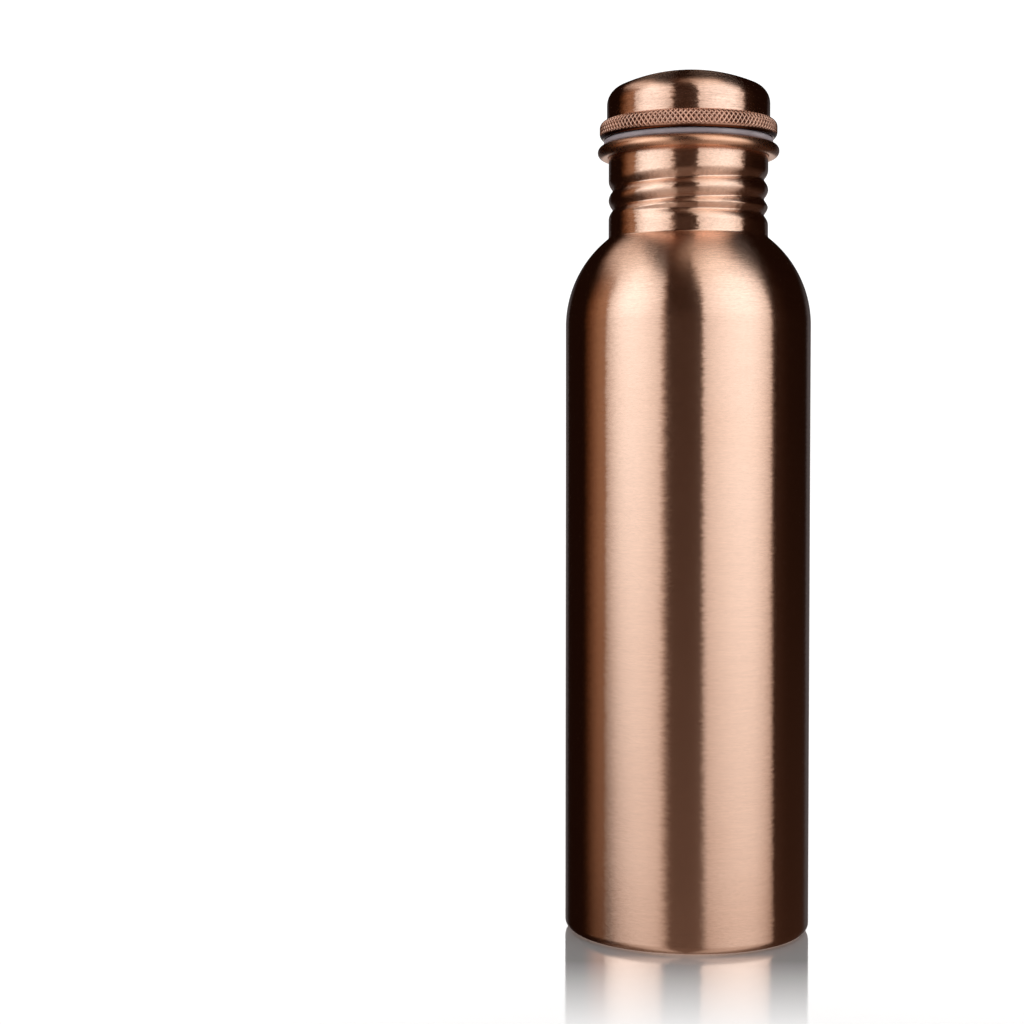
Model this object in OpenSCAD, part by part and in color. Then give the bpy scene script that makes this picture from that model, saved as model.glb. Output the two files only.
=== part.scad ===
// Copper water bottle with a screw-in cap.
// The origin is at the centre of the face that the bottle stands on, +Z up, in millimetres.

/* [Body] */
// Outside diameter of the straight wall
body_d = 76; // [74:1:80]
// Height at which the wall turns into the shoulder
wall_h = 188.4; // [120:0.2:220]
// Radius of the shoulder's arc
shoulder_r = 34.5; // [33:0.5:36]
// Thickness of the body's copper sheet
body_t = 0.6; // [0.5:0.1:0.8]
// Outside radius of the bottom corner
corner_r = 2.8; // [2:0.2:4]
// Width of the ring that the bottle stands on, inside the corner
foot_w = 4.2; // [3:0.2:6]

/* [Neck] */
// Outside diameter of the neck
neck_d = 49.4; // [49.2:0.1:49.8]
// Height of the neck, from the shoulder to the top of the lip
neck_h = 28.2; // [27.8:0.1:29]
// Radius of the crease between shoulder and neck
crease_r = 1; // [0.6:0.2:1.6]
// Radius of the lip's roll
lip_r = 2; // [1.8:0.05:2.1]

/* [Thread] */
// Rise of the thread in one turn, which is also the cap's lift in one turn
pitch = 6; // [5.9:0.1:6.1]
// Depth that the thread is rolled into the neck
groove_depth = 1.3; // [1.1:0.1:1.4]
// Width of the rolled groove along the neck
groove_w = 5.6; // [5:0.2:6]
// Height of the ridge on the plug
ridge_h = 1.05; // [0.9:0.05:1.1]
// Width of the plug's ridge along the plug
ridge_w = 3.4; // [3:0.2:3.6]

/* [Cap] */
// Outside diameter of the cap's upright side
cap_d = 50.5; // [50.4:0.1:50.8]
// Height of the cap above the lip
cap_h = 22.8; // [21:0.1:25]
// Radius of the cap's top, as part of a sphere
dome_r = 52.7; // [45:0.5:70]
// Radius of the rounded edge between the cap's side and its top
dome_edge_r = 6.1; // [4:0.1:8]
// Thickness of the cap's copper sheet
cap_t = 0.5; // [0.4:0.1:0.6]
// Height of the knurled ring
ring_h = 5.6; // [5.2:0.2:7]
// Depth of the knurled ring's section
ring_w = 2.2; // [2:0.1:2.4]
// Thickness of the gasket
gasket_t = 1.9; // [1.7:0.1:2.1]
// Outside diameter of the gasket
gasket_d = 52.4; // [51.6:0.2:53]
// Outside diameter of the threaded plug, without its ridge
plug_d = 44.8; // [44.4:0.1:44.8]
// Length of the plug below the lip
plug_l = 23.4; // [23:0.1:24]

/* [Hidden] */

copper = "#b87858";
copper_dark = "#a5694c";
copper_inside = "#c48a68";
silicone = "#cfc9d2";

$fn = 128;
arc_n = 24;              // straight pieces in a quarter of an arc
face_gap = 0.05;         // room between a seat and what it holds, for solder or a sliding touch

body_r = body_d / 2;
neck_r = neck_d / 2;
shoulder_c = body_r - shoulder_r;

// The crease touches the neck and the shoulder's arc.
crease_c = neck_r + crease_r;
crease_z = wall_h + sqrt(pow(shoulder_r + crease_r, 2) - pow(crease_c - shoulder_c, 2));
crease_a = atan2(crease_z - wall_h, crease_c - shoulder_c);
lip_top = crease_z + neck_h;

// The lip rolls outward and down until its edge nearly touches the neck.
lip_c = neck_r - body_t + lip_r;
lip_z = lip_top - lip_r;
lip_edge_gap = 0.15;
lip_end_a = -acos((neck_r + lip_edge_gap - lip_c) / lip_r);

// The thread is rolled into a band of the neck, which ends inside the plain neck above and below it.
thread_rise = 17.4;      // height of the groove's centre over the crease, on the +X side
thread_start_a = 110;    // where it begins, about +Z from +X
thread_end_a = -890;     // where it ends, more than two turns below
thread_fade_a = 100;     // the angle over which its depth comes and goes
thread_level_rise = 1;   // height over two turns down at which it levels out, into its own last turn
thread_turns = 3;        // turns that any side of the neck may see
groove_round = 0.3;      // how far the bottom of the groove is rounded
thread_z = crease_z + thread_rise;
thread_end_z = thread_z - 2 * pitch + thread_level_rise;
plain_below = 1;         // lengths of the band that stay plain under and over the groove
plain_above = 0.5;
band_low = thread_end_z - groove_w / 2 - plain_below;
band_high = thread_z + pitch * thread_start_a / 360 + groove_w / 2 + plain_above;
band_lap = 0.6;          // length of the band's ends inside the plain neck
band_inset = 0.05;       // depth of the band's ends under the neck's surfaces
band_sides = 60;
band_rows = 32;

// The cap's own heights.
gasket_low = lip_top + face_gap;
gasket_high = gasket_low + gasket_t;
flange_z = gasket_high + face_gap;
cap_r = cap_d / 2;
cap_top = lip_top + cap_h;
edge_c = cap_r - dome_edge_r;
edge_z = cap_top - dome_r + sqrt(pow(dome_r - dome_edge_r, 2) - pow(edge_c, 2));
edge_a = atan2(edge_z - cap_top + dome_r, edge_c);
ring_low = flange_z;
ring_inner = cap_r + face_gap;
plug_r = plug_d / 2;
plug_low = lip_top - plug_l;
plug_corner_r = 2.4;
flange_bend_r = 0.8;
flange_r = cap_r - face_gap;

// The plug's ridge lies under the neck's, a little way off its flank.
flank_gap = 2.35;        // distance between the two ridges' centres along the plug
ridge_low_a = -345;      // where the plug's ridge begins and ends
ridge_high_a = 190;
ridge_fade_a = 60;
ridge_rows = 30;
ridge_low = thread_z + pitch * ridge_low_a / 360 - flank_gap - ridge_w / 2;
ridge_high = thread_z + pitch * ridge_high_a / 360 - flank_gap + ridge_w / 2;

// Points on an arc about (cx, cz), from angle a0 to a1.
function arc(cx, cz, r, a0, a1) =
    let (n = max(2, ceil(abs(a1 - a0) / 90 * arc_n)))
    [for (i = [0:n]) let (a = a0 + (a1 - a0) * i / n) [cx + r * cos(a), cz + r * sin(a)]];

function reversed(points) = [for (i = [len(points) - 1:-1:0]) points[i]];

function clamped(x) = min(1, max(0, x));
function eased(x) = let (c = clamped(x)) c * c * (3 - 2 * c);

// Depth of the groove at u from its centre, as a share of its full depth. It is a rounded V, which
// leaves a broad crest between two turns.
function notch(u) =
    let (v = (sqrt(u * u + groove_round * groove_round) - groove_round) * 2 / groove_w)
    v < 1 ? (1 - v) * (1 - v) : 0;

// The groove's centre at angle a, which runs on below 0 for each turn down, and its depth there.
function groove_z(a) = max(thread_end_z, thread_z + pitch * a / 360);
function groove_share(a) =
    eased((thread_start_a - a) / thread_fade_a) * eased((a - thread_end_a) / thread_fade_a);
function groove_in(a, z) =
    groove_depth * max([for (k = [0:thread_turns])
        let (s = a - 360 * k) groove_share(s) * notch(z - groove_z(s))]);

// Height of the plug's ridge at u from its centre, as a share of its full height.
function bead(u) = abs(u) < ridge_w / 2 ? pow(cos(180 * u / ridge_w), 2) : 0;

// The plug's ridge at angle a and height z.
function ridge_share(a) =
    eased((a - ridge_low_a) / ridge_fade_a) * eased((ridge_high_a - a) / ridge_fade_a);
function ridge_out(a, z) =
    ridge_h * max([for (k = [-1:1])
        let (s = a + 360 * k)
        ridge_share(s) * bead(z - (thread_z + pitch * s / 360 - flank_gap))]);

// One closed tube between two stacks of rings, each ring a list of points about the axis.
module ring_stack(outer, inner) {
    n = len(outer[0]);
    rows_out = len(outer);
    rows_in = len(inner);
    first_in = rows_out * n;
    points = [for (row = outer) each row, for (row = inner) each row];
    skin_out = [for (j = [0:rows_out - 2], i = [0:n - 1]) let (k = (i + 1) % n)
        each [[j * n + i, (j + 1) * n + k, j * n + k], [j * n + i, (j + 1) * n + i, (j + 1) * n + k]]];
    skin_in = [for (j = [0:rows_in - 2], i = [0:n - 1]) let (k = (i + 1) % n, b = first_in + j * n)
        each [[b + i, b + k, b + n + k], [b + i, b + n + k, b + n + i]]];
    low_face = [for (i = [0:n - 1]) let (k = (i + 1) % n)
        each [[i, k, first_in + k], [i, first_in + k, first_in + i]]];
    top = (rows_out - 1) * n;
    top_in = first_in + (rows_in - 1) * n;
    high_face = [for (i = [0:n - 1]) let (k = (i + 1) % n)
        each [[top + i, top_in + k, top + k], [top + i, top_in + i, top_in + k]]];
    polyhedron(points = points, faces = concat(skin_out, skin_in, low_face, high_face));
}

// The band of the neck that carries the rolled thread: a groove outside and a ridge inside.
module thread_band() {
    function ring_at(r, z) = [for (i = [0:band_sides - 1])
        let (a = 360 * i / band_sides, q = r - groove_in(a, z)) [q * cos(a), q * sin(a), z]];
    heights = [for (j = [0:band_rows]) band_low + (band_high - band_low) * j / band_rows];
    outer = [for (z = heights) ring_at(neck_r - band_inset, z)];
    inner = [for (z = heights) ring_at(neck_r - body_t + band_inset, z)];
    ring_stack(outer, inner);
}

// The wall, shoulder and plain neck up to the thread, with the bottom edge turned in as a foot.
module lower_shell() {
    corner_c = body_r - corner_r;
    foot_in = corner_c - foot_w;
    outside = concat(
        [[foot_in, 0]],
        arc(corner_c, corner_r, corner_r, -90, 0),
        arc(shoulder_c, wall_h, shoulder_r, 0, crease_a),
        arc(crease_c, crease_z, crease_r, crease_a + 180, 180),
        [[neck_r, band_low + band_lap]]
    );
    inside = concat(
        [[foot_in, body_t]],
        arc(corner_c, corner_r, corner_r - body_t, -90, 0),
        arc(shoulder_c, wall_h, shoulder_r - body_t, 0, crease_a),
        arc(crease_c, crease_z, crease_r + body_t, crease_a + 180, 180),
        [[neck_r - body_t, band_low + band_lap]]
    );
    rotate_extrude() polygon(concat(outside, reversed(inside)));
}

// The plain neck above the thread, and the lip rolled out and down from it.
module upper_neck() {
    outside = concat(
        [[neck_r - body_t, band_high - band_lap]],
        arc(lip_c, lip_z, lip_r, 180, lip_end_a)
    );
    inside = concat(
        [[neck_r, band_high - band_lap]],
        arc(lip_c, lip_z, lip_r - body_t, 180, lip_end_a)
    );
    rotate_extrude() polygon(concat(outside, reversed(inside)));
}

module bottle_body() {
    color(copper) union() {
        lower_shell();
        thread_band();
        upper_neck();
    }
}

// The pressed bottom: a shallow pan inside the wall, on the turned-in foot, raised in the middle.
module base_pan() {
    rim_r = body_r - body_t - face_gap;
    rim_h = 9;           // height of the pan's upright rim
    foot_lap = 1.5;      // how far its flat reaches inwards past the foot
    slope_w = 3;         // width of the slope up to the raised middle
    rise = 2.4;          // height of the slope
    crown = 0.8;         // height of the middle's dome over the slope
    bend_r = corner_r;
    low = body_t + face_gap;
    step_out = body_r - corner_r - foot_w - foot_lap;
    step_in = step_out - slope_w;
    crown_r = (pow(step_in, 2) + pow(crown, 2)) / (2 * crown);
    crown_a = asin(step_in / crown_r);
    crown_c = low + rise + crown - crown_r;
    outside = concat(
        arc(0, crown_c, crown_r, 90, 90 - crown_a),
        [[step_out, low]],
        arc(rim_r - bend_r, low + bend_r, bend_r, -90, 0),
        [[rim_r, low + rim_h]]
    );
    inside = concat(
        arc(0, crown_c, crown_r + body_t, 90, 90 - crown_a),
        [[step_out + body_t / 2, low + body_t]],
        arc(rim_r - bend_r, low + bend_r, bend_r - body_t, -90, 0),
        [[rim_r - body_t, low + rim_h]]
    );
    color(copper_dark) rotate_extrude() polygon(concat(outside, reversed(inside)));
}

// The soft ring between lip and cap, loose on the plug.
module gasket() {
    edge_r = 0.6;        // rounding of its edges
    bore_gap = 0.3;      // room between its bore and the plug
    in_r = plug_r + bore_gap;
    out_r = gasket_d / 2;
    color(silicone) rotate_extrude() polygon(concat(
        arc(in_r + edge_r, gasket_low + edge_r, edge_r, 180, 270),
        arc(out_r - edge_r, gasket_low + edge_r, edge_r, -90, 0),
        arc(out_r - edge_r, gasket_high - edge_r, edge_r, 0, 90),
        arc(in_r + edge_r, gasket_high - edge_r, edge_r, 90, 180)
    ));
}

// The plug's rolled ridge, on a band that ends inside the plug's wall.
module plug_ridge() {
    function ring_at(r, z, share) = [for (i = [0:band_sides - 1])
        let (a = 360 * i / band_sides, q = r + share * ridge_out(a, z)) [q * cos(a), q * sin(a), z]];
    heights = [for (j = [0:ridge_rows]) ridge_low + (ridge_high - ridge_low) * j / ridge_rows];
    outer = [for (z = heights) ring_at(plug_r - band_inset, z, 1)];
    inner = [for (z = [ridge_low, ridge_high]) ring_at(plug_r - cap_t + band_inset, z, 0)];
    ring_stack(outer, inner);
}

// The cup that screws into the neck, with a flange at its open end.
module threaded_plug() {
    dish = 1;            // depth of the hollow in its underside
    dish_rim = 2;        // width of the flat ring round the hollow, and of the slope down to that ring
    dish_r = plug_r - plug_corner_r - dish_rim;
    floor_r = dish_r - dish_rim;
    outside = concat(
        [[0, plug_low + dish], [floor_r, plug_low + dish], [dish_r, plug_low]],
        arc(plug_r - plug_corner_r, plug_low + plug_corner_r, plug_corner_r, -90, 0),
        [[plug_r, ridge_low + band_lap]]
    );
    inside = concat(
        [[0, plug_low + dish + cap_t], [floor_r, plug_low + dish + cap_t], [dish_r, plug_low + cap_t]],
        arc(plug_r - plug_corner_r, plug_low + plug_corner_r, plug_corner_r - cap_t, -90, 0),
        [[plug_r - cap_t, ridge_low + band_lap]]
    );
    top_outside = concat(
        [[plug_r, ridge_high - band_lap]],
        arc(plug_r + flange_bend_r, flange_z - flange_bend_r, flange_bend_r, 180, 90),
        [[flange_r, flange_z]]
    );
    top_inside = concat(
        [[plug_r - cap_t, ridge_high - band_lap]],
        arc(plug_r + flange_bend_r, flange_z - flange_bend_r, flange_bend_r + cap_t, 180, 90),
        [[flange_r, flange_z + cap_t]]
    );
    color(copper_inside) union() {
        rotate_extrude() polygon(concat(outside, reversed(inside)));
        plug_ridge();
        rotate_extrude() polygon(concat(top_outside, reversed(top_inside)));
    }
}

// The cap's domed cover, which stands on the plug's flange.
module cap_dome() {
    low = flange_z + cap_t + face_gap;
    outside = concat(
        [[cap_r, low]],
        arc(edge_c, edge_z, dome_edge_r, 0, edge_a),
        arc(0, cap_top - dome_r, dome_r, edge_a, 90)
    );
    inside = concat(
        [[cap_r - cap_t, low]],
        arc(edge_c, edge_z, dome_edge_r - cap_t, 0, edge_a),
        arc(0, cap_top - dome_r, dome_r - cap_t, edge_a, 90)
    );
    color(copper) rotate_extrude() polygon(concat(outside, reversed(inside)));
}

// The grip ring round the cap's foot. Its knurl is finer than this model draws.
module knurled_ring() {
    under_a = -57;       // where the round of its underside meets its flat seat
    color(copper) rotate_extrude() polygon(concat(
        [[ring_inner, ring_low]],
        arc(ring_inner, ring_low - ring_w * sin(under_a), ring_w, under_a, 0),
        arc(ring_inner, ring_low + ring_h - ring_w, ring_w, 0, 90)
    ));
}

bottle_body();
base_pan();
gasket();
threaded_plug();
cap_dome();
knurled_ring();
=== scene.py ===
"""The looks of a copper water bottle with a knurled screw cap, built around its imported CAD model."""

import math

import bpy
import numpy as np
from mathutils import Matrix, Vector


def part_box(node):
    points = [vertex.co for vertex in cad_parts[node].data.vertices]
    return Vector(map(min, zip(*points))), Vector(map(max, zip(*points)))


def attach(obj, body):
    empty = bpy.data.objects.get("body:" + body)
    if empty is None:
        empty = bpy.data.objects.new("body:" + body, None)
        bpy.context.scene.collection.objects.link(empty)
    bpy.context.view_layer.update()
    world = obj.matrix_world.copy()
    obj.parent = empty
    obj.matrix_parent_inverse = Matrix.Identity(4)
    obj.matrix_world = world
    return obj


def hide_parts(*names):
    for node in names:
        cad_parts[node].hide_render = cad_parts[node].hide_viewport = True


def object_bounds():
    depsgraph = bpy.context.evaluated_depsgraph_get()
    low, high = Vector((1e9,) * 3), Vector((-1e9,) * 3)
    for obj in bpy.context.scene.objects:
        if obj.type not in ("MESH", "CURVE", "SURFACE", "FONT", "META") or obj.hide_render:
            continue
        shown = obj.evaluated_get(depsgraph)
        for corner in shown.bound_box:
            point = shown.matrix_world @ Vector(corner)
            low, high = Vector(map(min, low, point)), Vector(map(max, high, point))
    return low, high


MM = 0.001
SIDES = 256  # steps round the bottle's axis
SHARP_ANGLE = 35  # angle between two faces, in degrees, that makes their edge sharp

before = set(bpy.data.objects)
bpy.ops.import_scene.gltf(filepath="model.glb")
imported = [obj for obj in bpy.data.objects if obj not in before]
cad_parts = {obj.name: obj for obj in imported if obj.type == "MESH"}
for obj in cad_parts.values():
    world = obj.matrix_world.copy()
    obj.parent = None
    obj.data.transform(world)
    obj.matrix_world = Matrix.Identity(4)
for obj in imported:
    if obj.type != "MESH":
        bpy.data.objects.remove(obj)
cad_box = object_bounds()

# ---------------------------------------------------------------- sizes, in millimetres


def node_size(node):
    """(greatest radius, lowest z, highest z) of a round CAD node, in millimetres."""
    low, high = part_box(node)
    return high.x / MM, low.z / MM, high.z / MM


body_r, foot_z, lip_top = node_size("bottle_body")
pan_r, pan_low, pan_high = node_size("base_pan")
gasket_r, gasket_low, gasket_high = node_size("gasket")
flange_r, plug_low, flange_top = node_size("threaded_plug")
cap_r, cap_low, cap_top = node_size("cap_dome")
ring_r, ring_low, ring_high = node_size("knurled_ring")

body_sheet = 0.6
wall_h = 188.4
shoulder_r = 34.5
corner_r = 2.8
foot_w = 4.2

neck_r = 24.7
crease_r = 1.0
lip_r = 2.0
lip_edge_gap = 0.15

pitch = 6.0
groove_rise = 17.4  # height of the groove's centre over the crease, on the +X side
groove_level_rise = 1  # height over two turns down at which it levels out
groove_depth = 1.3
groove_w = 5.6
groove_round = 0.3  # how rounded the groove's bottom is
groove_start = 110  # degrees about +Z, and below 0 for each turn down
groove_end = -890
groove_fade = 100

cap_sheet = 0.5
dome_r = 52.7
dome_edge_r = 6.1
plug_r = 22.4
plug_corner_r = 2.4
flange_bend_r = 0.8
ridge_h = 1.05
ridge_w = 3.4
flank_gap = 2.35  # how far the plug's ridge runs below the neck's
ridge_start = -345
ridge_end = 190
ridge_fade = 60

ring_gap = 0.05  # between the cap's cover and the ring
ring_under_a = 57  # how far the ring's face turns in at its foot, in degrees
knurls_round = 110
knurls_high = 3.25
knurl_steps = 8  # steps of the mesh in one knurl
knurl_depth = 0.36
ridge_top = 0.18  # half the flat top of a knurl's ridge, and then its side, as shares of half a knurl
pit_side = 0.6
plain_top = 0.15  # knurls left plain at the ring's top, and then at its foot
plain_foot = 0.4
knurl_fade = 1 / 3  # knurls over which the cuts then reach their full depth
knurl_sharp = 18  # the angle that makes an edge sharp there

shoulder_c = body_r - shoulder_r
crease_c = neck_r + crease_r
crease_z = wall_h + math.sqrt((shoulder_r + crease_r) ** 2 - (crease_c - shoulder_c) ** 2)
crease_a = math.degrees(math.atan2(crease_z - wall_h, crease_c - shoulder_c))
ring_in_r = cap_r + ring_gap
groove_top = crease_z + groove_rise
groove_level = groove_top - 2 * pitch + groove_level_rise

# ---------------------------------------------------------------- outlines and threads


def arc(cr, cz, radius, start, end, steps=24):
    """Points (r, z) on an arc, with its angles in degrees."""
    angles = np.radians(np.linspace(start, end, steps + 1))
    return [(cr + radius * math.cos(a), cz + radius * math.sin(a)) for a in angles]


def line(start, end, steps=1):
    """Points (r, z) from start to end, both included."""
    return [tuple(p) for p in np.linspace(start, end, steps + 1)]


def slope(r_start, z_start, r_end, z_end, steps=12):
    """Points (r, z) on an S curve, level at both ends."""
    shares = np.linspace(0, 1, steps + 1)
    return [(r_start + (r_end - r_start) * t, z_start + (z_end - z_start) * eased(t)) for t in shares]


def eased(x):
    """0 below 0, 1 above 1 and an S between."""
    x = np.clip(x, 0, 1)
    return x * x * (3 - 2 * x)


def joined(*stretches):
    """(r, z, marks) of an outline from stretches of points, each with a mark, without doubled points."""
    path = [(r, z, mark) for points, mark in stretches for r, z in points]
    kept = [p for p, q in zip(path, path[1:] + path[:1]) if math.dist(p[:2], q[:2]) > 1e-4]
    columns = np.array(kept).T[:, :, None]
    return columns[0], columns[1], columns[2]


def groove_in(angle, z):
    """Depth of the thread rolled into the neck, at an angle from 0 to 360 and a height."""
    depth = 0
    for turn in range(math.ceil(-groove_end / 360) + 1):
        along = angle - 360 * turn
        centre = np.maximum(groove_level, groove_top + pitch * along / 360)
        across = (np.sqrt((z - centre) ** 2 + groove_round**2) - groove_round) * 2 / groove_w
        share = eased((groove_start - along) / groove_fade) * eased((along - groove_end) / groove_fade)
        depth = np.maximum(depth, share * np.clip(1 - across, 0, 1) ** 2)
    return groove_depth * depth


def ridge_out(angle, z):
    """Height of the ridge on the plug, at an angle from 0 to 360 and a height."""
    height = 0
    for along in (angle - 360, angle):
        centre = groove_top + pitch * along / 360 - flank_gap
        across = np.minimum(np.abs(z - centre) / ridge_w, 0.5)
        share = eased((along - ridge_start) / ridge_fade) * eased((ridge_end - along) / ridge_fade)
        height = np.maximum(height, share * np.cos(np.pi * across) ** 2)
    return ridge_h * height


# ---------------------------------------------------------------- meshes


def angles_of(sides):
    """Angles about the axis, in degrees, as one row."""
    return (np.arange(sides) * 360 / sides)[None, :]


def quads(rows, sides, first=0, loop=False):
    """The faces between neighbouring rows of points round the axis."""
    pairs = [(j, j + 1) for j in range(rows - 1)] + ([(rows - 1, 0)] if loop else [])
    ring = [(i, (i + 1) % sides) for i in range(sides)]
    return [
        (first + a * sides + i, first + a * sides + k, first + b * sides + k, first + b * sides + i)
        for a, b in pairs
        for i, k in ring
    ]


def turned(r, z, sides=SIDES):
    """(points, faces) of an outline turned about the axis, from radii and heights in rows.
    The outline runs up the outside and down the inside. It is a loop, or it starts and ends on the axis."""
    turn = np.radians(angles_of(sides))
    r, z = np.broadcast_arrays(r, z + 0 * turn)
    grid = np.stack([r * np.cos(turn), r * np.sin(turn), z], axis=2) * MM
    rows = len(grid)
    if r[0, 0] > 0:
        return grid.reshape(-1, 3), quads(rows, sides, loop=True)
    points = np.concatenate([grid[0, :1], grid[1:-1].reshape(-1, 3), grid[-1, :1]])
    last = len(points) - 1
    ring = [(i, (i + 1) % sides) for i in range(sides)]
    bottom = [(0, 1 + k, 1 + i) for i, k in ring]
    top = [(last, last - sides + i, last - sides + k) for i, k in ring]
    return points, bottom + top + quads(rows - 2, sides, first=1)


def make_piece(name, mesh_data, body, node, materials, pick=None, sharp=SHARP_ANGLE):
    """A smooth-shaded piece, which stands for a CAD node and rides on its body. mesh_data is (points,
    faces) and may end with how deep in a cut each point is, which the grip ring's material darkens as
    painted shade. pick(centre) is a face's material index."""
    points, faces = mesh_data[:2]
    mesh = bpy.data.meshes.new(name)
    mesh.from_pydata([tuple(p) for p in points], [], faces)
    mesh.shade_smooth()
    mesh.set_sharp_from_angle(angle=math.radians(sharp))
    for material in materials:
        mesh.materials.append(material)
    if len(mesh_data) == 3:
        mesh.attributes.new("cut", "FLOAT", "POINT").data.foreach_set("value", mesh_data[2])
    if pick:
        for face in mesh.polygons:
            face.material_index = pick(face.center / MM)
    piece = bpy.data.objects.new(name, mesh)
    bpy.context.scene.collection.objects.link(piece)
    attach(piece, body)
    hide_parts(node)
    return piece


# ---------------------------------------------------------------- the bottle


def bottle_mesh():
    """The wall, shoulder, neck and rolled lip, with both faces of the sheet."""
    corner_c = body_r - corner_r
    foot_in = corner_c - foot_w
    half = body_sheet / 2
    lip_c = neck_r - body_sheet + lip_r
    lip_z = lip_top - lip_r
    lip_end = -math.degrees(math.acos((neck_r + lip_edge_gap - lip_c) / lip_r))
    edge = arc(lip_c, lip_z, lip_r - half, lip_end, lip_end, 1)[0]
    below_groove = 4  # how far the neck's close rows of points run under and over the groove
    above_groove = 6
    band_low = groove_level - below_groove
    band_high = groove_top + above_groove
    r, z, rolled = joined(
        (arc(foot_in + half, foot_z + half, half, 180, 270, 6), 0),
        (arc(corner_c, corner_r, corner_r, -90, 0, 14), 0),
        (line((body_r, corner_r), (body_r, wall_h), 8), 0),
        (arc(shoulder_c, wall_h, shoulder_r, 0, crease_a, 50), 0),
        (arc(crease_c, crease_z, crease_r, crease_a + 180, 180, 10), 0),
        (line((neck_r, band_low), (neck_r, band_high), 120), 1),
        (arc(lip_c, lip_z, lip_r - body_sheet, 180, lip_end, 20), 0),
        (arc(edge[0], edge[1], half, lip_end + 180, lip_end, 8), 0),
        (arc(lip_c, lip_z, lip_r, lip_end, 180, 50), 0),
        (line((neck_r - body_sheet, band_high), (neck_r - body_sheet, band_low), 48), 1),
        (arc(crease_c, crease_z, crease_r + body_sheet, 180, crease_a + 180, 10), 0),
        (arc(shoulder_c, wall_h, shoulder_r - body_sheet, crease_a, 0, 20), 0),
        (line((body_r - body_sheet, wall_h), (body_r - body_sheet, corner_r), 4), 0),
        (arc(corner_c, corner_r, corner_r - body_sheet, 0, -90, 10), 0),
        (arc(foot_in + half, foot_z + half, half, 90, 180, 6), 0),
    )
    return turned(r - rolled * groove_in(angles_of(SIDES), z), z)


def bottle_finish(centre):
    """2 on the outside of the rolled lip, whose darker copper is painted shade, 1 on the neck and 0
    elsewhere.
    """
    if centre.z > lip_top - 2 * lip_r and centre.xy.length > neck_r + lip_edge_gap:
        return 2
    return int(centre.z > crease_z)


def pan_mesh():
    """The pressed bottom, which stands on the turned-in foot inside the wall."""
    foot_lap = 1.5  # how far its flat reaches inwards past the foot
    slope_w = 3.5
    rise = 2.4
    crown = 0.8
    slope_out = body_r - corner_r - foot_w - foot_lap
    slope_in = slope_out - slope_w
    crown_r = (slope_in**2 + crown**2) / (2 * crown)
    crown_a = math.degrees(math.asin(slope_in / crown_r))
    crown_c = pan_low + rise + crown - crown_r
    t = body_sheet
    half = t / 2
    bend_c = pan_r - corner_r
    r, z, _ = joined(
        (arc(0, crown_c, crown_r, 90, 90 - crown_a, 20), 0),
        (slope(slope_in, pan_low + rise, slope_out, pan_low), 0),
        (arc(bend_c, pan_low + corner_r, corner_r, -90, 0, 12), 0),
        (arc(pan_r - half, pan_high - half, half, 0, 180, 8), 0),
        (arc(bend_c, pan_low + corner_r, corner_r - t, 0, -90, 12), 0),
        (slope(slope_out + half, pan_low + t, slope_in + half, pan_low + rise + t), 0),
        (arc(0, crown_c, crown_r + t, 90 - crown_a, 90, 20), 0),
    )
    r[0] = r[-1] = 0
    return turned(r, z)


# ---------------------------------------------------------------- the gasket and the cap


def gasket_mesh():
    """The soft ring, with a rounder edge outside than at its bore."""
    edge_r = 0.75
    bore_r = 0.6
    bore_gap = 0.3
    in_r = plug_r + bore_gap
    low, high = gasket_low, gasket_high
    r, z, _ = joined(
        (arc(in_r + bore_r, low + bore_r, bore_r, 180, 270, 8), 0),
        (arc(gasket_r - edge_r, low + edge_r, edge_r, -90, 0, 10), 0),
        (arc(gasket_r - edge_r, high - edge_r, edge_r, 0, 90, 10), 0),
        (arc(in_r + bore_r, high - bore_r, bore_r, 90, 180, 8), 0),
    )
    return turned(r, z)


def plug_mesh():
    """The cup that screws into the neck, with its rolled ridge and its flange."""
    t = cap_sheet
    half = t / 2
    low = plug_low
    dish = 1.0
    dish_rim = 2
    slope_w = 3.5
    dish_r = plug_r - plug_corner_r - dish_rim
    floor_r = dish_r - slope_w
    below_groove_top = 10  # how far the side's close rows of points run under and over the groove's top
    above_groove_top = 3.5
    side_low = groove_top - below_groove_top
    side_high = groove_top + above_groove_top
    flange_z = flange_top - t
    bend = (plug_r + flange_bend_r, flange_z - flange_bend_r)
    r, z, rolled = joined(
        (line((0, low + dish), (floor_r, low + dish), 6), 0),
        (slope(floor_r, low + dish, dish_r, low), 0),
        (arc(plug_r - plug_corner_r, low + plug_corner_r, plug_corner_r, -90, 0, 16), 0),
        (line((plug_r, side_low), (plug_r, side_high), 70), 1),
        (arc(bend[0], bend[1], flange_bend_r, 180, 90, 8), 0),
        (arc(flange_r - half, flange_z + half, half, -90, 90, 8), 0),
        (arc(bend[0], bend[1], flange_bend_r + t, 90, 180, 8), 0),
        (line((plug_r - t, side_high), (plug_r - t, side_low), 70), 1),
        (arc(plug_r - plug_corner_r, low + plug_corner_r, plug_corner_r - t, 0, -90, 12), 0),
        (slope(dish_r, low + t, floor_r, low + dish + t), 0),
        (line((floor_r, low + dish + t), (0, low + dish + t), 6), 0),
    )
    r[0] = r[-1] = 0
    return turned(r + rolled * ridge_out(angles_of(SIDES), z), z)


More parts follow.
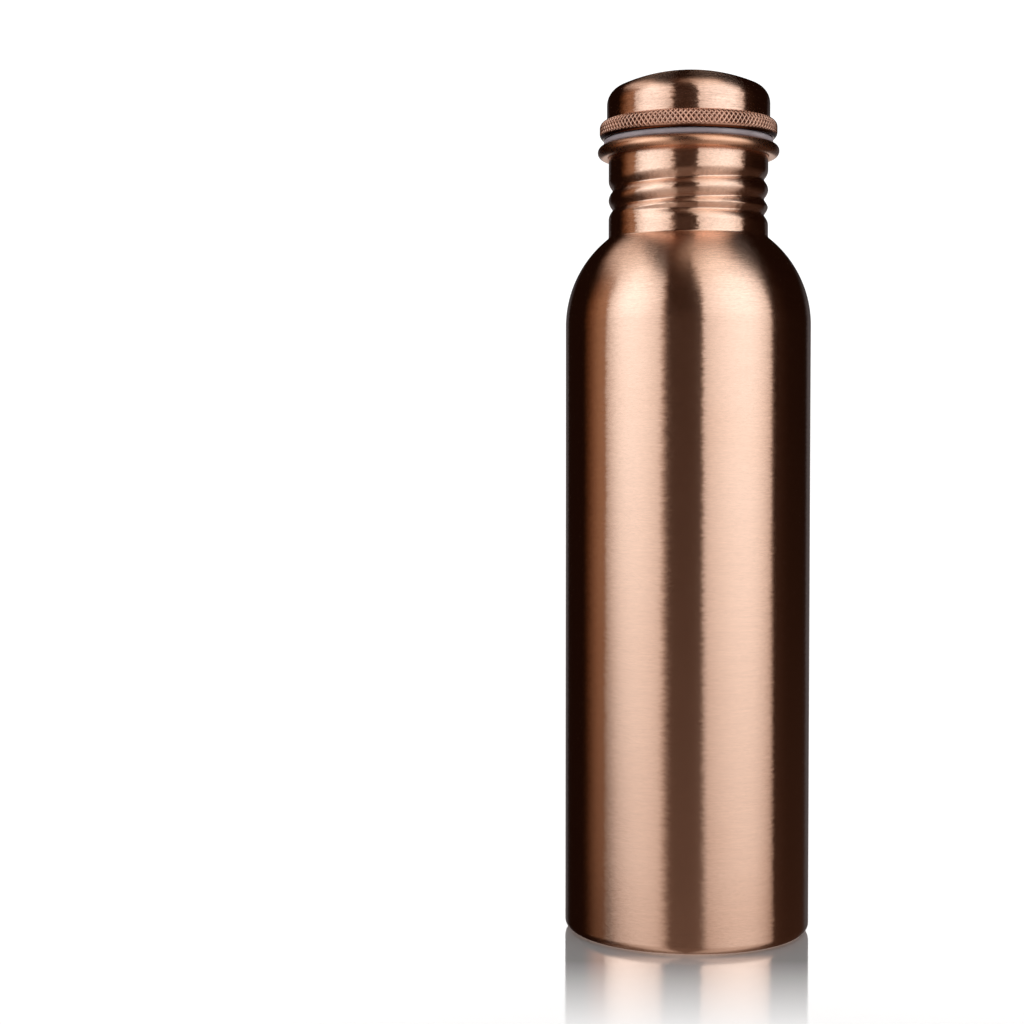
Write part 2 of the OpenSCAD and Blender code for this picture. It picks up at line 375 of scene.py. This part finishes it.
def dome_mesh():
    """The cap's domed cover, which stands on the plug's flange."""
    t = cap_sheet
    half = t / 2
    dome_c = cap_top - dome_r
    edge_c = cap_r - dome_edge_r
    edge_z = dome_c + math.sqrt((dome_r - dome_edge_r) ** 2 - edge_c**2)
    edge_a = math.degrees(math.atan2(edge_z - dome_c, edge_c))
    r, z, _ = joined(
        (arc(0, dome_c, dome_r - t, 90, edge_a, 40), 0),
        (arc(edge_c, edge_z, dome_edge_r - t, edge_a, 0, 20), 0),
        (arc(cap_r - half, cap_low + half, half, 180, 360, 8), 0),
        (line((cap_r, cap_low + half), (cap_r, edge_z), 8), 0),
        (arc(edge_c, edge_z, dome_edge_r, 0, edge_a, 40), 0),
        (arc(0, dome_c, dome_r, edge_a, 90, 60), 0),
    )
    r[0] = r[-1] = 0
    return turned(r, z)


def ring_face(steps):
    """(r, z, outward r, outward z) up the grip ring's round outer face, before the knurl is cut."""
    width = ring_r - ring_in_r
    under = math.radians(ring_under_a)
    low_z = ring_low + width * math.sin(under)
    flat = ring_high - width - low_z
    bend_low = under * width
    bend_high = math.radians(90) * width
    along = np.linspace(0, bend_low + flat + bend_high, steps + 1)[:, None]
    a = (np.clip(along - bend_low, None, 0) + np.clip(along - bend_low - flat, 0, None)) / width
    middle = low_z + np.clip(along - bend_low, 0, flat)
    return ring_in_r + width * np.cos(a), middle + width * np.sin(a), np.cos(a), np.sin(a)


def knurl_cut(around, upward):
    """Depth of the diamond knurl, from 0 to 1, at places counted in knurls round the ring and up it."""
    off_line = [np.abs((upward * way + around + 0.5) % 1 - 0.5) for way in (1, -1)]
    pit = np.clip(np.minimum(*off_line) * 2 - ridge_top, 0, pit_side) / pit_side
    return pit * eased(np.minimum(upward - plain_foot, knurls_high - upward - plain_top) / knurl_fade)


def ring_mesh():
    """The grip ring, with how deep in a cut each point is, which the material darkens as painted shade. The
    ring's foot and bore count as cut, for painted shade there too. Each face is split along the knurl's
    ridges."""
    steps = round(knurls_high * knurl_steps)
    sides = knurls_round * knurl_steps
    top_flat = 0.02  # keeps the face's top row of points clear of the bore's edge
    around = np.arange(sides)[None, :] / knurl_steps
    upward = np.arange(steps + 1)[:, None] / knurl_steps
    face_r, face_z, out_r, out_z = ring_face(steps)
    cut = knurl_cut(around, upward)
    r = face_r - knurl_depth * cut * out_r
    z = face_z - knurl_depth * cut * out_z
    r[-1] = face_r[-1] + top_flat
    bore = np.ones((2, sides))
    r = np.concatenate([r, ring_in_r * bore])
    z = np.concatenate([z, ring_high * bore[:1], ring_low * bore[1:]])
    # painted shade: the colour goes dark in the knurl's pits, along the ring's foot where its face curves
    # in below, and on its bore
    foot = 1 - eased(upward / plain_foot - 0.5)
    painted_shade = np.concatenate([np.maximum(cut, foot), bore])
    points, faces = turned(r, z, sides)
    split = []
    for a, b, c, d in faces:
        row, column = divmod(a, sides)
        falling = row < steps and (row + column + 1) % (knurl_steps // 2) == 0
        split += [(a, b, d), (b, c, d)] if falling else [(a, b, c), (a, c, d)]
    return points, split, painted_shade.ravel()


# ---------------------------------------------------------------- materials


class Nodes:
    """A short way to write a node tree."""

    def __init__(self, tree):
        self.tree = tree
        tree.nodes.clear()

    def add(self, kind, inputs=(), **settings):
        node = self.tree.nodes.new(kind)
        for name, value in settings.items():
            setattr(node, name, value)
        for name, value in dict(inputs).items():
            self.feed(node.inputs[name], value)
        return node

    def feed(self, socket, value):
        if isinstance(value, bpy.types.NodeSocket):
            self.tree.links.new(value, socket)
        else:
            socket.default_value = value

    def math(self, operation, a, b=0.0):
        node = self.add("ShaderNodeMath", operation=operation)
        self.feed(node.inputs[0], a)
        self.feed(node.inputs[1], b)
        return node.outputs[0]

    def product(self, *values):
        total = values[0]
        for value in values[1:]:
            total = self.math("MULTIPLY", total, value)
        return total

    def mapped(self, value, low, high, to_low=0.0, to_high=1.0, kind="SMOOTHSTEP"):
        """to_low where value is low or less, to_high where it is high or more, and a blend between."""
        node = self.add("ShaderNodeMapRange", interpolation_type=kind)
        names = ("Value", "From Min", "From Max", "To Min", "To Max")
        for name, number in zip(names, (value, low, high, to_low, to_high)):
            self.feed(node.inputs[name], number)
        return node.outputs[0]

    def place(self, kind="Object"):
        return self.add("ShaderNodeTexCoord").outputs[kind]

    def split(self, vector):
        return self.add("ShaderNodeSeparateXYZ", {0: vector}).outputs

    def vector(self, x=0.0, y=0.0, z=0.0):
        return self.add("ShaderNodeCombineXYZ", {"X": x, "Y": y, "Z": z}).outputs[0]

    def noise(self, place, scale=1.0, detail=2.0, roughness=0.5):
        inputs = {"Vector": place, "Scale": scale, "Detail": detail, "Roughness": roughness}
        return self.add("ShaderNodeTexNoise", inputs).outputs["Fac"]

    def blended(self, factor, a, b):
        """The number a where factor is 0 and b where it is 1."""
        node = self.add("ShaderNodeMix", data_type="FLOAT")
        self.feed(node.inputs[0], factor)
        self.feed(node.inputs[2], a)
        self.feed(node.inputs[3], b)
        return node.outputs[0]

    def mixed(self, factor, a, b):
        """The colour a where factor is 0 and b where it is 1."""
        node = self.add("ShaderNodeMix", data_type="RGBA")
        self.feed(node.inputs[0], factor)
        self.feed(node.inputs[6], a)
        self.feed(node.inputs[7], b)
        return node.outputs[2]


def new_material(name):
    """An empty material and its nodes."""
    material = bpy.data.materials.new(name)
    material.use_nodes = True
    return material, Nodes(material.node_tree)


def brush_place(n, around, across):
    """A place for a noise that is drawn out round the axis: around is its detail in a turn, and
    across is its detail in a metre of the outline."""
    x, y, z = n.split(n.place())
    radius = n.math("MAXIMUM", n.math("SQRT", n.math("ADD", n.product(x, x), n.product(y, y))), 1e-5)
    outline = n.product(n.math("SUBTRACT", z, radius), across)
    along_x = n.product(n.math("DIVIDE", x, radius), around)
    along_y = n.product(n.math("DIVIDE", y, radius), around)
    return n.vector(along_x, along_y, outline)


def brush_shade(n, streaks, grain, shoulder_gain):
    """How much lighter or darker than 1 the brush lines make the copper's colour."""
    fine = n.noise(brush_place(n, around=6, across=2600), detail=3, roughness=0.6)
    coarse = n.noise(brush_place(n, around=2.5, across=420), detail=2)
    short = n.noise(brush_place(n, around=28, across=2600), detail=1)
    lines = n.math("ADD", n.product(fine, 0.7), n.product(coarse, 0.3))
    shade = n.product(
        n.mapped(lines, 0.35, 0.65, 1 - streaks, 1 + streaks, "LINEAR"),
        n.mapped(short, 0.3, 0.7, 1 - grain, 1 + grain, "LINEAR"),
    )
    height = n.split(n.place())["Z"]
    gain_start = wall_h - 6
    gain_full = wall_h + 16
    strength = n.mapped(height, gain_start * MM, gain_full * MM, 1, shoulder_gain)
    return n.math("ADD", 1, n.product(n.math("SUBTRACT", shade, 1), strength))


def sheet_normal(n, round_axis, dent, wander):
    """The outward direction of a slightly waved sheet, which each brush line turns a little aside."""
    aside = n.noise(brush_place(n, around=15, across=1300), detail=2)
    turn = n.product(n.math("SUBTRACT", aside, 0.5), wander)
    outward = n.add("ShaderNodeNewGeometry").outputs["Normal"]
    inputs = {0: round_axis, 1: turn, 2: outward}
    turned_aside = n.add("ShaderNodeVectorMath", inputs, operation="MULTIPLY_ADD").outputs[0]
    dents = n.noise(n.place(), scale=36, detail=0)
    inputs = {"Distance": dent * MM, "Height": dents, "Normal": turned_aside}
    return n.add("ShaderNodeBump", inputs).outputs[0]


def copper(name, colour, roughness, brushed, streaks, grain, dent=0, wander=0, shoulder_gain=1, painted_shade_colour=None):
    """Copper sheet, brushed round its axis. brushed is how drawn-out its reflections are. streaks and
    grain are how much long and short brush lines show in its colour, and shoulder_gain is how much more
    they show over the bottle's shoulder. dent is how far the sheet waves, in millimetres, and wander is
    how far the brush lines turn it aside. stain is the colour of the painted shade in its cuts."""
    material, n = new_material(name)
    patches = n.noise(n.place(), scale=22, detail=2)
    warm = (colour[0] * 0.97, colour[1] * 0.93, colour[2] * 0.9, 1)
    tone = n.mixed(n.mapped(patches, 0.45, 0.75, 0, 0.6), colour + (1,), warm)
    shade = brush_shade(n, streaks, grain, shoulder_gain)
    tone = n.add("ShaderNodeVectorMath", {0: tone, 1: shade}, operation="MULTIPLY").outputs[0]
    # painted shade: the colour darkens towards the shade colour where the cut attribute is high
    if painted_shade_colour:
        cut = n.add("ShaderNodeAttribute", attribute_name="cut").outputs["Fac"]
        tone = n.mixed(n.mapped(cut, 0.1, 0.9), tone, painted_shade_colour)
    glint = n.noise(brush_place(n, around=33, across=2900), detail=1)
    round_axis = n.add("ShaderNodeTangent", direction_type="RADIAL", axis="Z").outputs[0]
    shader = n.add(
        "ShaderNodeBsdfPrincipled",
        {
            "Base Color": tone,
            "Metallic": 1.0,
            "Roughness": n.mapped(glint, 0.35, 0.65, roughness * 0.95, roughness * 1.15, "LINEAR"),
            "Anisotropic": brushed,
            "Anisotropic Rotation": 0.25,  # reflections are drawn out across the brush lines
            "Normal": sheet_normal(n, round_axis, dent, wander),
            "Tangent": round_axis,
        },
    )
    n.add("ShaderNodeOutputMaterial", {"Surface": shader.outputs[0]})
    return material


def silicone(name):
    """Milky, slightly translucent silicone rubber."""
    material, n = new_material(name)
    cloud = n.noise(n.place(), scale=90, detail=3)
    tone = n.mixed(n.mapped(cloud, 0.35, 0.65), (0.26, 0.22, 0.235, 1), (0.34, 0.295, 0.31, 1))
    fine = n.noise(n.place(), scale=2500, detail=2)
    bumped = n.add("ShaderNodeBump", {"Strength": 0.4, "Distance": 0.02 * MM, "Height": fine})
    shader = n.add(
        "ShaderNodeBsdfPrincipled",
        {
            "Base Color": tone,
            "Roughness": n.mapped(cloud, 0.3, 0.7, 0.38, 0.5, "LINEAR"),
            "IOR": 1.41,
            "Subsurface Weight": 0.35,
            "Subsurface Radius": (1.0, 0.9, 1.0),
            "Subsurface Scale": 1.2 * MM,
            "Normal": bumped.outputs[0],
        },
    )
    n.add("ShaderNodeOutputMaterial", {"Surface": shader.outputs[0]})
    return material


# ---------------------------------------------------------------- camera

camera_place = Vector((-54.8, -625.0, 150.6)) * MM
camera_pitch = 1.84  # degrees below the horizon
camera_lens = 70.3
sensor = 36.0


def make_camera():
    data = bpy.data.cameras.new("camera")
    data.lens = camera_lens
    data.sensor_width = sensor
    data.clip_start = 0.01
    camera = bpy.data.objects.new("camera", data)
    camera.location = camera_place
    camera.rotation_euler = (math.radians(90 - camera_pitch), 0, 0)
    bpy.context.scene.collection.objects.link(camera)
    bpy.context.scene.camera = camera


# ---------------------------------------------------------------- the sky that the metal mirrors

floor_tint = 0.8  # how much of the light the floor's polish gives back


def sky_angles(n):
    """(azimuth, elevation) of a direction in the room, in degrees. Azimuth is 0 at the room's front and
    grows to its right."""
    x, y, z = n.split(n.place("Generated"))
    front = Vector((camera_place.x, camera_place.y)).normalized()
    forward = n.math("ADD", n.product(x, front.x), n.product(y, front.y))
    rightward = n.math("ADD", n.product(x, -front.y), n.product(y, front.x))
    azimuth = n.product(n.math("ARCTAN2", rightward, forward), math.degrees(1))
    elevation = n.product(n.math("ARCSINE", z), math.degrees(1))
    return azimuth, elevation


def panel(n, azimuth, elevation, sides, heights, soft):
    """1 inside a soft-edged stretch of the sky and 0 outside it. Angles are in degrees, sides is
    (left, right), heights is (low, high), and soft is the width of the (left, right, low, high) edge."""
    left = n.mapped(azimuth, sides[0] - soft[0] / 2, sides[0] + soft[0] / 2)
    right = n.mapped(azimuth, sides[1] - soft[1] / 2, sides[1] + soft[1] / 2, 1, 0)
    low = n.mapped(elevation, heights[0] - soft[2] / 2, heights[0] + soft[2] / 2)
    high = n.mapped(elevation, heights[1] - soft[3] / 2, heights[1] + soft[3] / 2, 1, 0)
    return n.product(left, right, low, high)


def falloff(n, azimuth, peak, left_reach, right_reach):
    """1 at the peak of a lamp and less to each side of it, down to 0 at its reach."""
    away = n.math("SUBTRACT", azimuth, peak)
    share = n.math("MAXIMUM", n.product(away, 1 / right_reach), n.product(away, -1 / left_reach))
    return n.math("MAXIMUM", n.math("SUBTRACT", 1, n.product(share, share)), 0)


def room_level(n, azimuth, elevation, leant, behind):
    """Brightness of the dim room: its back, the gap between the lamps, a haze low down, the floor and
    the zenith."""
    level = n.mapped(behind, 68, 94, 0.01, 0.026)
    gap = panel(n, leant, elevation, sides=(-40, 30), heights=(-90, 90), soft=(6, 6, 1, 1))
    level = n.blended(gap, level, 0.03)
    low_haze = n.product(n.mapped(elevation, 0, -16, 0, 0.13), n.mapped(azimuth, -70, -40))
    level = n.math("ADD", level, n.product(low_haze, n.mapped(azimuth, 60, 90, 1, 0.25)))
    level = n.blended(n.mapped(elevation, -40, -60), level, 0.14)
    zenith = n.product(n.mapped(elevation, 66, 86), n.mapped(behind, 50, 90))
    return n.blended(zenith, level, n.mapped(azimuth, -110, 0, 0.1, 0.2))


def lamp_level(n, level, azimuth, elevation, leant):
    """The room's brightness with its lamps: one overhead, two tall soft boxes, and an arm of light up
    behind on the left."""
    overhead = panel(n, azimuth, elevation, sides=(-22, 112), heights=(64, 100), soft=(44, 20, 14, 1))
    level = n.blended(overhead, level, n.mapped(azimuth, -20, 80, 0.4, 0.52))

    heights = n.product(n.mapped(elevation, -20, 7, 0.4, 0.97), n.mapped(elevation, 30, 62, 1, 0.78))
    leant_left = n.math("ADD", leant, n.mapped(elevation, 40, 68, 0, 44))
    glow = n.product(falloff(n, leant_left, -59, 32, 54), 1.52)
    low_glow = n.product(falloff(n, leant_left, -39, 46, 40), 1.27)
    glow = n.blended(n.mapped(elevation, 3, -14), glow, low_glow)
    left = panel(n, leant_left, elevation, sides=(-83, -23), heights=(-110, 60), soft=(4, 9, 1, 14))
    level = n.blended(left, level, n.product(glow, heights))

    leant_right = n.math("ADD", leant, n.mapped(elevation, 30, 68, 0, 9))
    glow = n.product(falloff(n, leant_right, 56, 70, 42), n.mapped(elevation, 3, -14, 1.49, 1.36))
    right = panel(n, leant_right, elevation, sides=(14, 84.5), heights=(-110, 70), soft=(4, 3, 1, 16))
    level = n.blended(right, level, n.product(glow, heights))

    arm = panel(n, azimuth, elevation, sides=(-142, -72), heights=(38, 58), soft=(20, 24, 14, 13))
    return n.blended(arm, level, n.mapped(azimuth, -140, -85, 0.6, 0.95))


def sky_colour(n, level, azimuth, elevation, leant, behind):
    """The light of the sky, cooler where it is brighter and warmer high up, with a dim warm fill on the
    left, a faint rim on each side of the back and a slim light in the middle of it."""
    high_warmth = n.mapped(elevation, 30, 62)
    green = n.product(n.math("POWER", level, 1.2), n.mapped(high_warmth, 0, 1, 1, 0.93, "LINEAR"))
    blue = n.product(n.math("POWER", level, 1.33), n.mapped(high_warmth, 0, 1, 1, 0.86, "LINEAR"))
    light = n.vector(level, green, blue)
    warm = n.mixed(n.mapped(azimuth, -108, -86), (0.12, 0.048, 0.019, 1), (0.37, 0.217, 0.133, 1))
    fill = panel(n, leant, elevation, sides=(-109, -83), heights=(-9, 34), soft=(13, 3, 30, 12))
    light = n.mixed(fill, light, warm)
    rim_left = panel(n, azimuth, elevation, sides=(-170, -153), heights=(-24, 10), soft=(6, 3, 12, 10))
    rim_right = panel(n, azimuth, elevation, sides=(148, 170), heights=(-24, 10), soft=(10, 6, 12, 10))
    light = n.mixed(n.math("ADD", rim_left, rim_right), light, (0.08, 0.08, 0.088, 1))
    strip = panel(n, behind, elevation, sides=(-1, 11), heights=(-60, 3), soft=(1, 10, 20, 8))
    return n.mixed(strip, light, (0.6, 0.57, 0.55, 1))


def make_sky():
    """Surroundings that are white to the eye and to the floor, and that metal sees as a studio: a dim
    room with its lamps, which stand a few degrees further right low down."""
    world = bpy.data.worlds.new("studio")
    bpy.context.scene.world = world
    world.use_nodes = True
    world.cycles.sampling_method = "NONE"
    n = Nodes(world.node_tree)
    azimuth, elevation = sky_angles(n)
    behind = n.math("SUBTRACT", 180, n.math("ABSOLUTE", azimuth))
    leant = n.math("SUBTRACT", azimuth, n.mapped(elevation, 2, -15, 0, 5))
    level = room_level(n, azimuth, elevation, leant, behind)
    level = lamp_level(n, level, azimuth, elevation, leant)
    light = sky_colour(n, level, azimuth, elevation, leant, behind)

    path = n.add("ShaderNodeLightPath").outputs
    past_sheet = n.math("MINIMUM", path["Transparent Depth"], 1)
    first = n.math("LESS_THAN", path["Glossy Depth"], 1.5)
    off_floor = n.product(past_sheet, first, n.math("GREATER_THAN", elevation, 0))
    metal = n.math("SUBTRACT", path["Is Glossy Ray"], off_floor)
    white = 1.15  # a little over 1, so that it is pure white in the picture
    seen = n.mixed(metal, n.blended(off_floor, white, white / floor_tint), light)
    background = n.add("ShaderNodeBackground", {"Color": seen, "Strength": 1.0})
    n.add("ShaderNodeOutputWorld", {"Surface": background.outputs[0]})


# ---------------------------------------------------------------- the floor

floor_gap = 0.06 * MM  # how far the floor, and then the clear sheet on it, lie below the bottle
sheet_gap = 0.03 * MM
mirror_start = -0.12  # y, in metres, where the floor's polish starts, and then where it is full
mirror_full = -0.042
mirror_share = 0.76  # how much of the light the full polish mirrors


def flat_square(name, z, half=3.0):
    """A level staged square in a material of its own name, and that material's nodes."""
    mesh = bpy.data.meshes.new(name)
    corners = [(-half, -half, 0), (half, -half, 0), (half, half, 0), (-half, half, 0)]
    mesh.from_pydata(corners, [], [(0, 1, 2, 3)])
    square = bpy.data.objects.new(name, mesh)
    square.location.z = z
    bpy.context.scene.collection.objects.link(square)
    material, n = new_material(name)
    mesh.materials.append(material)
    return square, n


def make_floor():
    """A plain pale floor, polished enough to mirror the bottle, and less and less so towards the front."""
    floor, n = flat_square("floor", cad_box[0].z - floor_gap)
    floor.visible_glossy = False
    mirror = n.mapped(n.split(n.place())["Y"], mirror_start, mirror_full, 0, mirror_share, "LINEAR")
    plain = n.add("ShaderNodeBsdfDiffuse", {"Color": (0.9, 0.9, 0.9, 1)})
    tint = (floor_tint, floor_tint, floor_tint, 1)
    gloss = n.add("ShaderNodeBsdfAnisotropic", {"Color": tint, "Roughness": 0.07})
    shader = n.add("ShaderNodeMixShader", {0: mirror, 1: plain.outputs[0], 2: gloss.outputs[0]})
    n.add("ShaderNodeOutputMaterial", {"Surface": shader.outputs[0]})


def make_sheet():
    """A clear sheet on the floor that only mirrored light meets. By it the sky knows the floor's own
    mirror image, and stays white there."""
    sheet, n = flat_square("clear_sheet", cad_box[0].z - sheet_gap)
    sheet.visible_camera = False
    sheet.visible_diffuse = False
    sheet.visible_transmission = False
    sheet.visible_shadow = False
    clear = n.add("ShaderNodeBsdfTransparent")
    n.add("ShaderNodeOutputMaterial", {"Surface": clear.outputs[0]})


# ---------------------------------------------------------------- the whole

make_camera()
make_sky()
make_floor()
make_sheet()
bpy.context.scene.view_settings.view_transform = "Standard"

copper_tone = (0.91, 0.61, 0.467)
cap_tone = (0.84, 0.55, 0.42)
# the rolled lip's copper is darker and browner than the neck's: painted shade on its upward face
shaded_lip_tone = (0.78, 0.44, 0.29)
base_tone = (0.9, 0.55, 0.41)
plug_tone = (0.95, 0.62, 0.47)
knurl_tone = (0.8, 0.47, 0.35)
# dark brown of the painted shade in the grip ring's knurl pits, under its foot and on its bore
painted_shade_tone = (0.13, 0.045, 0.02, 1)

brushed_copper = copper(
    "brushed_copper", copper_tone, 0.195, 1.0, 0.02, 0.016, dent=0.09, wander=0.046, shoulder_gain=5
)
neck_copper = copper("neck_copper", copper_tone, 0.21, 1.0, 0.06, 0.06, dent=0.1, wander=0.12)
cap_copper = copper("cap_copper", cap_tone, 0.2, 1.0, 0.16, 0.08, dent=0.09, wander=0.1)
# painted shade: the lip's copper takes the darker lip tone
shaded_lip_copper = copper("shaded_lip_copper", shaded_lip_tone, 0.28, 0.6, 0.05, 0.03)
base_copper = copper("base_copper", base_tone, 0.34, 0.8, 0.06, 0.03)
plug_copper = copper("plug_copper", plug_tone, 0.26, 0.7, 0.04, 0.03)
knurled_copper = copper("knurled_copper", knurl_tone, 0.2, 0.0, 0.03, 0.03, painted_shade_colour=painted_shade_tone)
milky_silicone = silicone("milky_silicone")

bottle_coppers = [brushed_copper, neck_copper, shaded_lip_copper]
shell = make_piece("bottle_shell", bottle_mesh(), "bottle", "bottle_body", bottle_coppers, bottle_finish)
pan = make_piece("base_plate", pan_mesh(), "bottle", "base_pan", [base_copper])
seal = make_piece("sealing_ring", gasket_mesh(), "seal", "gasket", [milky_silicone])
plug = make_piece("screw_plug", plug_mesh(), "cap", "threaded_plug", [plug_copper])
dome = make_piece("cap_cover", dome_mesh(), "cap", "cap_dome", [cap_copper])
grip = make_piece("grip_ring", ring_mesh(), "cap", "knurled_ring", [knurled_copper], sharp=knurl_sharp)
